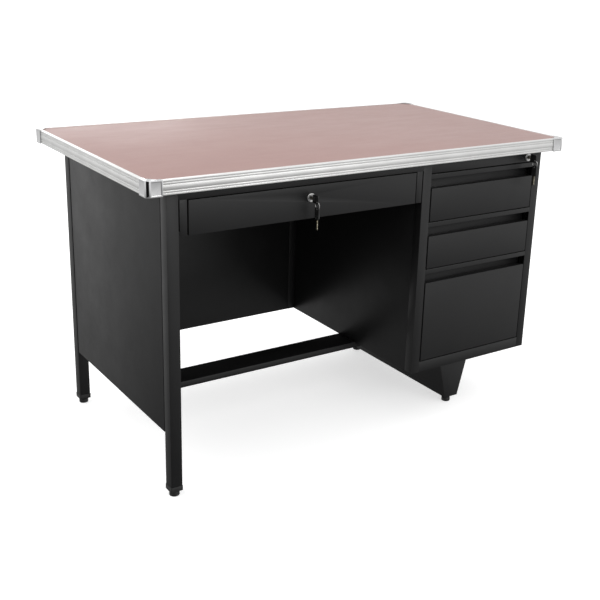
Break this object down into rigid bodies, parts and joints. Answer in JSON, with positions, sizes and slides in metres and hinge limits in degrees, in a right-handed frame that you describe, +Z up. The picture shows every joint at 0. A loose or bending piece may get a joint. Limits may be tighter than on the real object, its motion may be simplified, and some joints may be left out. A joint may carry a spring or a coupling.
{
  "type": "teacher desk",
  "caption": "Steel teacher desk: laminate worktop in ribbed metal edging, lockable drawer pedestal on one side, centre drawer over the kneehole, footrest bar and levelling glides.",
  "frame": {"origin": "on the floor under the middle of the top", "axes": "+Z up, -Y towards the sitter, +X towards the drawer pedestal"},
  "size_m": [1.2, 0.6858, 0.75],
  "materials": {
    "laminate": "matte laminate, faint stipple",
    "board": "raw chipboard",
    "edge_trim": "satin, extruded ribs along its length",
    "chrome": "polished",
    "black_steel": "satin black powder coat",
    "zinc_steel": "zinc plated",
    "glide_black": "moulded black plastic",
    "lock_plug": "dull plated, round face with a key slot",
    "key": "nickel blade in a black moulded bow",
    "key_ring": "bright spring wire"
  },
  "bodies": {
    "frame": {"bottom_rail": "black_steel", "centre_hanger_left": "black_steel", "centre_hanger_right": "black_steel", "corner_caps": "chrome", "edge_trim_front": "edge_trim", "edge_trim_left": "edge_trim", "edge_trim_rear": "edge_trim", "edge_trim_right": "edge_trim", "finger_rail_1": "black_steel", "finger_rail_2": "black_steel", "finger_rail_3": "black_steel", "footrest_bar": "black_steel", "footrest_bracket": "black_steel", "front_top_rail": "black_steel", "glide_plinth_front": "glide_black", "glide_plinth_rear": "glide_black", "glide_post_front": "glide_black", "glide_post_rear": "glide_black", "glide_sockets": "glide_black", "left_top_rail": "black_steel", "lock_rail": "black_steel", "modesty_panel": "black_steel", "modesty_stile": "black_steel", "pedestal_back": "black_steel", "pedestal_bottom": "black_steel", "pedestal_left_side": "black_steel", "pedestal_lock_barrel": "chrome", "pedestal_right_side": "black_steel", "plinth_leg": "black_steel", "post_front": "black_steel", "post_rear": "black_steel", "rear_top_rail": "black_steel", "side_panel": "black_steel", "side_screws": "chrome", "slide_channels": "zinc_steel", "slide_uprights": "black_steel", "stile_left": "black_steel", "stile_right": "black_steel", "top_board": "board", "top_laminate": "laminate"},
    "centre_drawer": {"centre_drawer_front": "black_steel", "centre_drawer_tray": "black_steel", "centre_lock_barrel": "chrome"},
    "centre_lock": {"centre_lock_plug": "lock_plug", "centre_key": "key"},
    "centre_ring": {"centre_key_ring": "key_ring"},
    "centre_spare": {"centre_spare_key": "key"},
    "upper_drawer": {"upper_drawer_front": "black_steel", "upper_drawer_tray": "black_steel"},
    "middle_drawer": {"middle_drawer_front": "black_steel", "middle_drawer_tray": "black_steel"},
    "file_drawer": {"file_drawer_front": "black_steel", "file_drawer_tray": "black_steel", "file_slide_inner": "zinc_steel"},
    "file_slide": {"file_slide_middle": "zinc_steel"},
    "pedestal_lock": {"pedestal_lock_plug": "lock_plug", "pedestal_key": "key"},
    "pedestal_ring": {"pedestal_key_ring": "key_ring"},
    "pedestal_spare": {"pedestal_spare_key": "key"},
    "lock_bar": {"lock_bar": "zinc_steel"}
  },
  "joints": [
    {"name": "centre_drawer_slide", "type": "slide", "parent": "frame", "child": "centre_drawer", "axis": [0, -1, 0], "range_m": [0, 0.32]},
    {"name": "centre_lock_turn", "type": "hinge", "parent": "centre_drawer", "child": "centre_lock", "pos_m": [-0.188, -0.3135, 0.667], "axis": [0, 1, 0], "range_deg": [0, 90]},
    {"name": "centre_ring_swing", "type": "hinge", "parent": "centre_lock", "child": "centre_ring", "pos_m": [-0.188, -0.3403, 0.662], "axis": [0, 1, 0], "range_deg": [-30, 30]},
    {"name": "centre_spare_swing", "type": "hinge", "parent": "centre_ring", "child": "centre_spare", "pos_m": [-0.188, -0.3403, 0.645], "axis": [-1, 0, 0], "range_deg": [-10, 60]},
    {"name": "upper_drawer_slide", "type": "slide", "parent": "frame", "child": "upper_drawer", "axis": [0, -1, 0], "range_m": [0, 0.34]},
    {"name": "middle_drawer_slide", "type": "slide", "parent": "frame", "child": "middle_drawer", "axis": [0, -1, 0], "range_m": [0, 0.34]},
    {"name": "file_drawer_slide", "type": "slide", "parent": "frame", "child": "file_drawer", "axis": [0, -1, 0], "range_m": [0, 0.42]},
    {"name": "file_slide_travel", "type": "slide", "parent": "frame", "child": "file_slide", "axis": [0, -1, 0], "range_m": [0, 0.21]},
    {"name": "pedestal_lock_turn", "type": "hinge", "parent": "frame", "child": "pedestal_lock", "pos_m": [0.4977, -0.3125, 0.701], "axis": [0, -1, 0], "range_deg": [0, 90]},
    {"name": "pedestal_ring_swing", "type": "hinge", "parent": "pedestal_lock", "child": "pedestal_ring", "pos_m": [0.4977, -0.3393, 0.696], "axis": [0, 1, 0], "range_deg": [-30, 30]},
    {"name": "pedestal_spare_swing", "type": "hinge", "parent": "pedestal_ring", "child": "pedestal_spare", "pos_m": [0.4977, -0.3393, 0.679], "axis": [-1, 0, 0], "range_deg": [-10, 60]},
    {"name": "lock_bar_slide", "type": "slide", "parent": "frame", "child": "lock_bar", "axis": [0, 0, 1], "range_m": [0, 0.01]}
  ],
  "couplings": [
    {"joint": "file_slide_travel", "follows": "file_drawer_slide", "ratio": 0.5},
    {"joint": "pedestal_lock_turn", "follows": "lock_bar_slide", "rad_per_m": 157.07}
  ]
}
